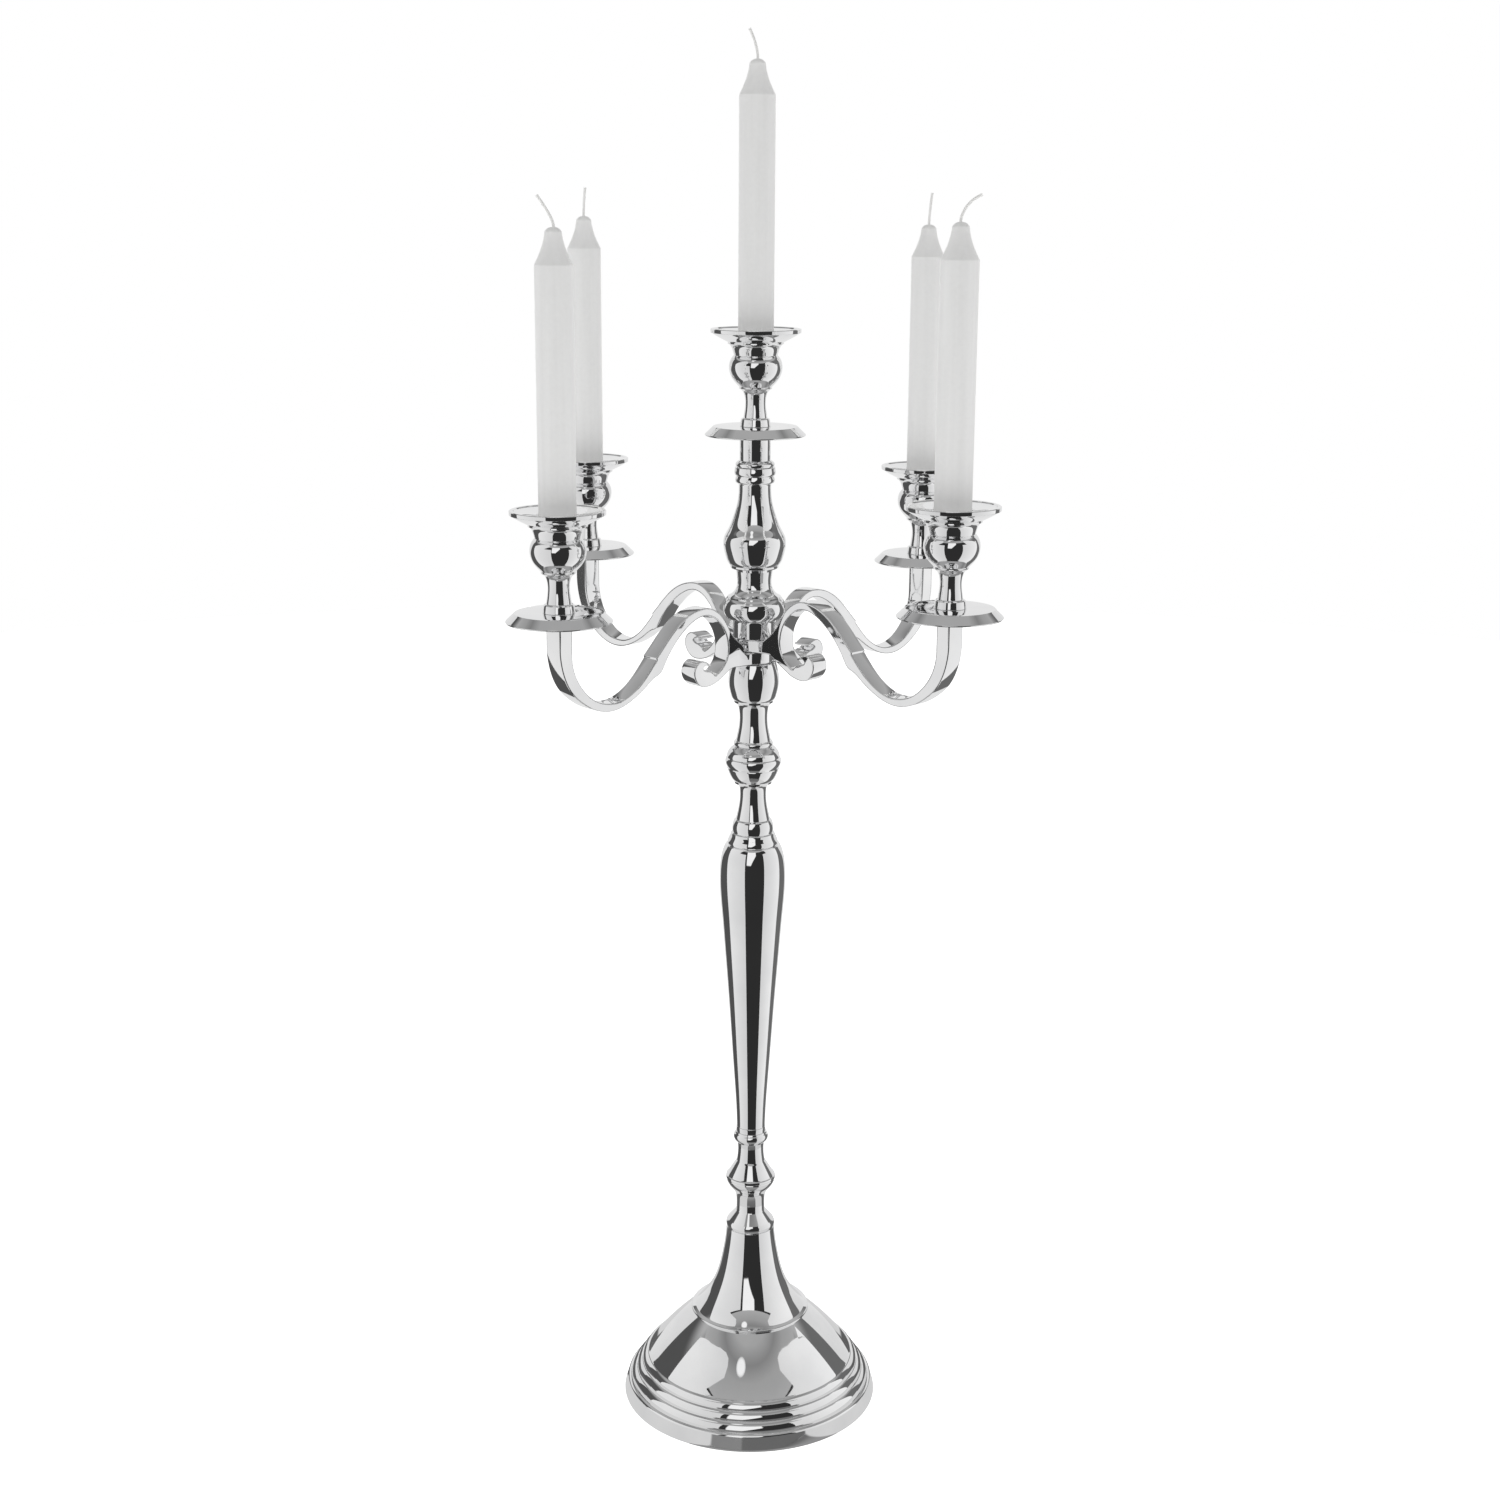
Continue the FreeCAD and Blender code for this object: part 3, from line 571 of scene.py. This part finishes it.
def crossbar_piece(node, along):
    """Two scroll arms on one flared eye, with rounded long edges, built from its side outline."""
    loop, right_count = crossbar_outline(node, along)
    before, after = np.roll(loop, 1, axis=0), np.roll(loop, -1, axis=0)
    way = after - before
    inward = np.stack([-way[:, 1], way[:, 0]], 1) / np.hypot(*way.T)[:, None]
    columns = []
    for k in range(ROUNDING_STEPS + 1):
        angle = math.pi / 2 * (1 - k / ROUNDING_STEPS)
        columns.append((-1, BAR_EDGE * (1 - math.sin(angle)), BAR_EDGE * (1 - math.cos(angle))))
    columns += [(1, narrower, inset) for _, narrower, inset in columns[::-1]]
    count = len(loop)
    points, faces = [], []

    def put(reach, side, narrower, height):
        place = [0.0, 0.0, height]
        place[along] = reach
        place[1 - along] = side * (half_width(reach) - narrower)
        points.append(tuple(place))
        return len(points) - 1

    for side, narrower, inset in columns:
        for reach, height in loop + inward * inset:
            put(reach, side, narrower, height)
    for j in range(len(columns) - 1):
        for i in range(count):
            n = (i + 1) % count
            faces.append([j * count + i, (j + 1) * count + i, (j + 1) * count + n, j * count + n])

    cap = loop + inward * BAR_EDGE
    top_start = ROOT_COLUMNS + right_count
    left_start = top_start + ROOT_COLUMNS
    flat = []
    for side, offset in ((-1, 0), (1, (len(columns) - 1) * count)):
        grid = []
        for low_i in range(ROOT_COLUMNS):
            high_i = left_start - 1 - low_i
            inner = []
            for t in CAP_ROWS:
                reach, height = cap[low_i] * (1 - t) + cap[high_i] * t
                inner.append(put(reach, side, 0.0, height))
            grid.append([offset + low_i] + inner + [offset + high_i])
        for line, following in zip(grid, grid[1:]):
            for k in range(len(line) - 1):
                faces.append([line[k], following[k], following[k + 1], line[k + 1]])
        right_rim = [offset + i for i in range(ROOT_COLUMNS, top_start)]
        left_rim = [offset + i for i in range(left_start, count)]
        for rim in (right_rim + grid[-1][::-1], left_rim + grid[0]):
            flat_rim = [Vector((points[i][along], points[i][2], 0.0)) for i in rim]
            triangles = tessellate_polygon([flat_rim])
            flat.extend(range(len(faces), len(faces) + len(triangles)))
            faces.extend([rim[a], rim[b], rim[c]] for a, b, c in triangles)
    piece = new_piece(node + "_finish", points, faces, METAL, flat)
    fix_normals(piece)
    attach(piece, BODY_OF[node])
    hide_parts(node)


def fix_normals(piece):
    """Turns every face of a closed mesh outward."""
    mesh = bmesh.new()
    mesh.from_mesh(piece.data)
    bmesh.ops.recalc_face_normals(mesh, faces=mesh.faces)
    mesh.to_mesh(piece.data)
    mesh.free()


# Each wick bends in an upright plane: its turn about Z in degrees, then, in millimetres, its sideways
# reach and the heights of its bend and of its end above the candle.
WICK_BENDS = {
    "centre": (225.0, 5.0, 9.0, 18.0),
    "front_left": (225.0, 9.0, 8.0, 18.0),
    "back_right": (45.0, 1.6, 9.0, 21.0),
    "front_right": (45.0, 11.5, 9.0, 15.5),
    "back_left": (45.0, 1.2, 9.0, 19.0),
}
STRANDS = 3
STRAND_RADIUS = 0.44 * MM
STRAND_OFFSET = 0.44 * MM
FRAY = 0.35 * MM
FRAYED_LENGTH = 2 * MM
TAPER_LENGTH = 1.2 * MM
TIP_SHARE = 0.35
TIP_ROOM = 0.7
TWIST_PITCH = 3.4 * MM
WICK_STEP = 0.25 * MM
STRAND_SIDES = 8


def wick_piece(place):
    """A wick of three twisted cotton strands, a little frayed at its end."""
    low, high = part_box("candle_" + place)
    turn, reach, bend, end = WICK_BENDS[place]
    line = smooth_run([(0.0, -4 * MM), (0.0, 2 * MM), (0.3 * reach * MM, bend * MM),
                       (reach * MM, (end - TIP_ROOM) * MM)], WICK_STEP)
    along = np.concatenate([[0], np.cumsum(np.hypot(*np.diff(line, axis=0).T))])
    way = np.gradient(line, axis=0)
    way /= np.hypot(*way.T)[:, None]
    out = np.array((math.cos(math.radians(turn)), math.sin(math.radians(turn)), 0.0))
    aside = np.array((-out[1], out[0], 0.0))
    up = np.array((0.0, 0.0, 1.0))
    base = np.array(((low.x + high.x) / 2, (low.y + high.y) / 2, high.z))
    points, faces = [], []
    for strand in range(STRANDS):
        first = len(points)
        for (across, height), (way_out, way_up), gone in zip(line, way, along):
            centre = base + out * across + up * height
            normal = out * way_up - up * way_out
            left = along[-1] - gone
            spread = STRAND_OFFSET + FRAY * max(0.0, 1.0 - left / FRAYED_LENGTH) ** 2
            angle = math.tau * (strand / STRANDS + gone / TWIST_PITCH)
            middle = centre + (normal * math.cos(angle) + aside * math.sin(angle)) * spread
            thick = STRAND_RADIUS * min(1.0, TIP_SHARE + left / TAPER_LENGTH)
            for k in range(STRAND_SIDES):
                side = math.tau * k / STRAND_SIDES
                points.append(tuple(middle + (normal * math.cos(side) + aside * math.sin(side)) * thick))
        rings = len(line)
        for j in range(rings - 1):
            for k in range(STRAND_SIDES):
                n = (k + 1) % STRAND_SIDES
                a = first + j * STRAND_SIDES
                faces.append([a + k, a + n, a + STRAND_SIDES + n, a + STRAND_SIDES + k])
        faces.append([first + k for k in range(STRAND_SIDES)][::-1])
        faces.append([first + (rings - 1) * STRAND_SIDES + k for k in range(STRAND_SIDES)])
    piece = new_piece("wick_" + place + "_finish", points, faces, COTTON)
    fix_normals(piece)
    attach(piece, BODY_OF["wick_" + place])
    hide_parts("wick_" + place)


STEM_NODES = ("base_bell", "stem_foot", "main_baluster", "stem_shoulder", "stem_knob", "lower_hub",
              "upper_hub", "pear_vase", "bead_collar", "candle_column")
for name in STEM_NODES:
    sides = 160 if name == "base_bell" else 128
    turned_piece(name, METAL, sides=sides, step=0.9 * MM)
for place in PLACES:
    turned_piece("drip_pan_" + place, METAL, step=1.2 * MM)
    turned_piece("candle_cup_" + place, METAL, step=0.8 * MM)
    turned_piece("candle_" + place, WAX, sides=96, step=1.5 * MM, edge=0.5 * MM)
crossbar_piece("lower_arms", along=1)
crossbar_piece("upper_arms", along=0)

for name in ("base_washer", "base_nut", "tie_rod", "upper_rod", "cup_studs_lower", "cup_studs_upper"):
    nodes[name].data.materials[0] = STEEL
for place in PLACES:
    wick_piece(place)


# ---------------------------------------------------------------- studio
# The room stays fixed in the world whichever way the object is viewed. It is laid out from the
# photograph's viewpoint: azimuths are degrees round the object from that camera's side, to its right.
# Heights and distances are metres.
FLOOR_GLOW = 0.97
FRONT = Vector((math.sqrt(0.5), -math.sqrt(0.5), 0.0))
RIGHT = Vector((math.sqrt(0.5), math.sqrt(0.5), 0.0))


def studio_world():
    """Dark room with a bright window behind the photograph's camera.

    The metal and the other surfaces are lit by this room, but a camera ray that meets nothing gets
    plain white instead.
    """
    world = bpy.data.worlds.new("studio")
    bpy.context.scene.world = world
    world.use_nodes = True
    tree = world.node_tree
    tree.nodes.clear()
    ray = tree.nodes.new("ShaderNodeTexCoord").outputs["Generated"]

    def along(direction):
        dot = add_node(tree, "ShaderNodeVectorMath", {0: ray, 1: direction}, operation="DOT_PRODUCT")
        return dot.outputs["Value"]

    azimuth = maths(tree, "DEGREES", maths(tree, "ARCTAN2", along(RIGHT), along(FRONT)))
    rise = maths(tree, "DEGREES", maths(tree, "ARCSINE", along((0.0, 0.0, 1.0))))
    light = rescale(tree, azimuth, 60.0, 100.0, 0.028, 0.15)
    light = layer(tree, light, 0.085, rescale(tree, azimuth, -100.0, -60.0, 1.0, 0.0))
    sideways = rescale(tree, maths(tree, "ABSOLUTE", azimuth), 85.0, 105.0)
    light = layer(tree, light, 0.44, maths(tree, "MULTIPLY", sideways, rescale(tree, rise, 27.0, 40.0)))
    sill = rescale(tree, azimuth, -6.0, 13.0, 0.0, 24.0, "LINEAR")
    above_sill = rescale(tree, maths(tree, "SUBTRACT", rise, sill), 0.0, 2.0)
    window = maths(tree, "MULTIPLY", between(tree, azimuth, -21.0, 13.0, 1.5),
                   maths(tree, "MULTIPLY", above_sill, between(tree, rise, -10.0, 47.0, 2.0)))
    light = layer(tree, light, 0.95, window)
    paths = tree.nodes.new("ShaderNodeLightPath").outputs
    seen = layer(tree, light, 1.0, paths["Is Camera Ray"])
    shine = add_node(tree, "ShaderNodeBackground", {"Color": (1, 1, 1, 1), "Strength": seen})
    out = tree.nodes.new("ShaderNodeOutputWorld")
    tree.links.new(shine.outputs[0], out.inputs["Surface"])


def glow():
    """A plain light surface whose strength is each point's own."""
    made = bpy.data.materials.new("glow")
    made.use_nodes = True
    tree = made.node_tree
    tree.nodes.clear()
    strength = add_node(tree, "ShaderNodeAttribute", attribute_name="light").outputs["Fac"]
    shine = add_node(tree, "ShaderNodeEmission", {"Color": (1, 1, 1, 1), "Strength": strength})
    out = tree.nodes.new("ShaderNodeOutputMaterial")
    tree.links.new(shine.outputs[0], out.inputs["Surface"])
    return made


def light_surface(name, points, faces, strengths):
    """A lit surface that shows only in reflections and in the light it gives."""
    made = new_piece(name, points, faces, GLOW)
    values = made.data.attributes.new("light", "FLOAT", "POINT")
    values.data.foreach_set("value", np.array(strengths, np.float32))
    made.visible_camera = False
    made.visible_shadow = False


def wall(name, distance, azimuths, low, high, strength, rows=12, widest=0.0, columns=48):
    """An upright curved panel; azimuth limits, top height and strength may vary over it."""
    first, last = azimuths(widest)
    points, faces, strengths = [], [], []
    for j in range(rows + 1):
        for i in range(columns + 1):
            share = i / columns
            down = low + (high(first + (last - first) * share) - low) * j / rows
            start, end = azimuths(down)
            turn = math.radians(start + (end - start) * share)
            place = (FRONT * math.cos(turn) + RIGHT * math.sin(turn)) * distance
            points.append((place.x, place.y, down))
            strengths.append(strength(start + (end - start) * share, down))
    for j in range(rows):
        for i in range(columns):
            k = j * (columns + 1) + i
            faces.append((k, k + 1, k + columns + 2, k + columns + 1))
    light_surface(name, points, faces, strengths)


def disc(name, towards_camera, to_right, height, radius, rings):
    """A level round lit surface overhead, in rings of (share of the radius, strength)."""
    sides = 64
    middle = FRONT * towards_camera + RIGHT * to_right
    points = [(middle.x + share * radius * math.cos(k * math.tau / sides),
               middle.y + share * radius * math.sin(k * math.tau / sides), height)
              for share, _ in rings for k in range(sides)]
    faces = [list(range(sides))[::-1]]
    for j in range(len(rings) - 1):
        for k in range(sides):
            n = (k + 1) % sides
            faces.append([j * sides + k, (j + 1) * sides + k, (j + 1) * sides + n, j * sides + n])
    light_surface(name, points, faces, [strength for _, strength in rings for _ in range(sides)])


def blend_between(value, low, high, at_low, at_high):
    """value carried from low..high to at_low..at_high, and held at the ends."""
    share = min(1.0, max(0.0, (value - low) / (high - low)))
    return at_low + (at_high - at_low) * share


# Softbox heads: azimuth in degrees, then height in metres at the softboxes' distance.
LEFT_HEAD = ((-103.0, 0.80), (-100.0, 0.88), (-80.0, 1.24), (-60.0, 1.54), (-48.0, 1.64),
             (-40.0, 1.60), (-36.0, 1.4))
RIGHT_HEAD = ((48.0, 1.24), (52.0, 1.44), (58.0, 1.46), (67.0, 1.40), (85.0, 1.14),
              (104.0, 0.80), (108.0, 0.70))
LEFT_LIMITS = (-99.0, -26.5)
RIGHT_LIMITS = (41.0, 107.0)
SHOULDER = 0.92
HEAD_CUT = 0.32
SOFTBOX_DISTANCE = 1.1
UNDER_FLOOR = -1.6
BACKDROP_DISTANCE = 6.0
BACKDROP_HEIGHT = 3.4
TABLE_RADIUS = 0.27
TABLE_EDGE = 0.014
TABLE_SIDES = 240
TABLE_RINGS = ((0.0, 0.32), (0.12, 0.30), (0.2, 0.17), (TABLE_RADIUS, 0.14))
CEILING_RINGS = ((0.05, 0.40), (0.35, 0.39), (0.52, 0.24), (0.68, 0.35), (1.0, 0.42))
LAMP_RINGS = ((0.1, 0.95), (0.7, 0.95), (1.0, 0.6))


def height_at(places, azimuth):
    """A softbox head's height at an azimuth."""
    return float(np.interp(azimuth, *zip(*places)))


def table_light(azimuth, in_strip):
    """What the near table mirrors: softboxes and backdrop bright, gaps dark, the middle in between."""
    if -99.0 < azimuth < -27.0 or 42.0 < azimuth < 106.0 or abs(azimuth) > 142.0:
        return 0.68
    return in_strip if abs(azimuth) < 90.0 else 0.12


def head(name, places, low_corner, high_corner, outer, strength):
    """The rounded upper part of a softbox, cut away above the dark gap in the middle."""
    def limits(z):
        inner = blend_between(z, SHOULDER, SHOULDER + HEAD_CUT, low_corner, high_corner)
        return (inner, outer) if inner > 0 else (outer, inner)

    wall(name, SOFTBOX_DISTANCE, limits, SHOULDER, lambda a: height_at(places, a), strength,
         rows=28, widest=2 * SHOULDER)


def table_top():
    """The near table, seen only in reflections: grey in front, bright where it mirrors a softbox."""
    sides = TABLE_SIDES
    points, faces, strengths = [], [], []
    for radius, strength in TABLE_RINGS:
        for k in range(sides):
            azimuth = -180.0 + 360.0 * k / sides
            turn = math.radians(azimuth)
            place = (FRONT * math.cos(turn) + RIGHT * math.sin(turn)) * radius
            points.append((place.x, place.y, cad_low.z - 0.1 * MM))
            strengths.append(table_light(azimuth, strength))
    for j in range(len(TABLE_RINGS) - 1):
        for k in range(sides):
            n = (k + 1) % sides
            faces.append((j * sides + k, j * sides + n, (j + 1) * sides + n, (j + 1) * sides + k))
    light_surface("table_reflection", points, faces, strengths)


def studio_panels():
    """Two softboxes with rounded heads, the table's reflection, a backdrop, a ceiling and its lamp."""
    def left_light(a, z):
        return blend_between(a, -100.0, -35.0, 0.84, 0.70)

    def right_light(a, z):
        return blend_between(a, 48.0, 108.0, 0.72, 0.92)

    def backdrop_limits(z):
        edge = blend_between(z, -1.4, 0.6, 148.0, 127.0)
        return edge, 360.0 - edge

    wall("left_softbox", SOFTBOX_DISTANCE, lambda z: LEFT_LIMITS, UNDER_FLOOR,
         lambda a: min(SHOULDER, height_at(LEFT_HEAD, a)), left_light)
    head("left_head", LEFT_HEAD, -54.0, -37.0, LEFT_LIMITS[0], left_light)
    wall("right_softbox", SOFTBOX_DISTANCE, lambda z: RIGHT_LIMITS, UNDER_FLOOR,
         lambda a: min(SHOULDER, height_at(RIGHT_HEAD, a)), right_light)
    head("right_head", RIGHT_HEAD, 57.0, 48.5, RIGHT_LIMITS[1], right_light)
    wall("table_edge", TABLE_RADIUS, lambda z: (-180.0, 180.0), cad_low.z,
         lambda a: cad_low.z + TABLE_EDGE,
         lambda a, z: table_light(a, 0.14 if a > -5.0 else 0.24), rows=2, columns=TABLE_SIDES)
    wall("backdrop", BACKDROP_DISTANCE, backdrop_limits, 4 * UNDER_FLOOR, lambda a: BACKDROP_HEIGHT,
         lambda a, z: blend_between(abs(a - 180.0), 0.0, 50.0, 0.84, 0.74))
    disc("ceiling", 0.2, 0.0, 2.2, 2.4, CEILING_RINGS)
    disc("ceiling_lamp", 1.42, -0.38, 2.15, 0.21, LAMP_RINGS)
    table_top()


GLOW = glow()


def pale_floor():
    """A near-white floor that glows almost as brightly as the background.

    So it shows no floor line and almost no contact shadow, as in the photograph. Reflections don't
    see it: the metal mirrors table_top instead.
    """
    sides, radius = 96, 3.0
    points = [(radius * math.cos(k * math.tau / sides), radius * math.sin(k * math.tau / sides),
               cad_low.z - 0.05 * MM) for k in range(sides)]
    made, tree, shader = new_material("pale_floor")
    shader.inputs["Base Color"].default_value = (0.9, 0.9, 0.9, 1)
    shader.inputs["Roughness"].default_value = 0.9
    shader.inputs["Specular IOR Level"].default_value = 0.0
    shader.inputs["Emission Color"].default_value = (1, 1, 1, 1)
    shader.inputs["Emission Strength"].default_value = FLOOR_GLOW
    floor = new_piece("floor", points, [list(range(sides))], made)
    floor.visible_glossy = False


studio_world()
studio_panels()
pale_floor()

# ---------------------------------------------------------------- camera
CAMERA_PLACE = (0.9619, -0.9649, 0.7986)
CAMERA_TURN = math.radians(45.0)
CAMERA_DIP = 0.24786
CAMERA_ROLL = 0.0060
camera_data = bpy.data.cameras.new("camera")
camera_data.sensor_width = 36.0
camera_data.lens = 52.40
camera = bpy.data.objects.new("camera", camera_data)
bpy.context.scene.collection.objects.link(camera)
camera.matrix_world = (Matrix.Translation(CAMERA_PLACE)
                       @ Matrix.Rotation(CAMERA_TURN, 4, "Z")
                       @ Matrix.Rotation(math.pi / 2 - CAMERA_DIP, 4, "X")
                       @ Matrix.Rotation(CAMERA_ROLL, 4, "Z"))
bpy.context.scene.camera = camera
bpy.context.scene.view_settings.view_transform = "Standard"
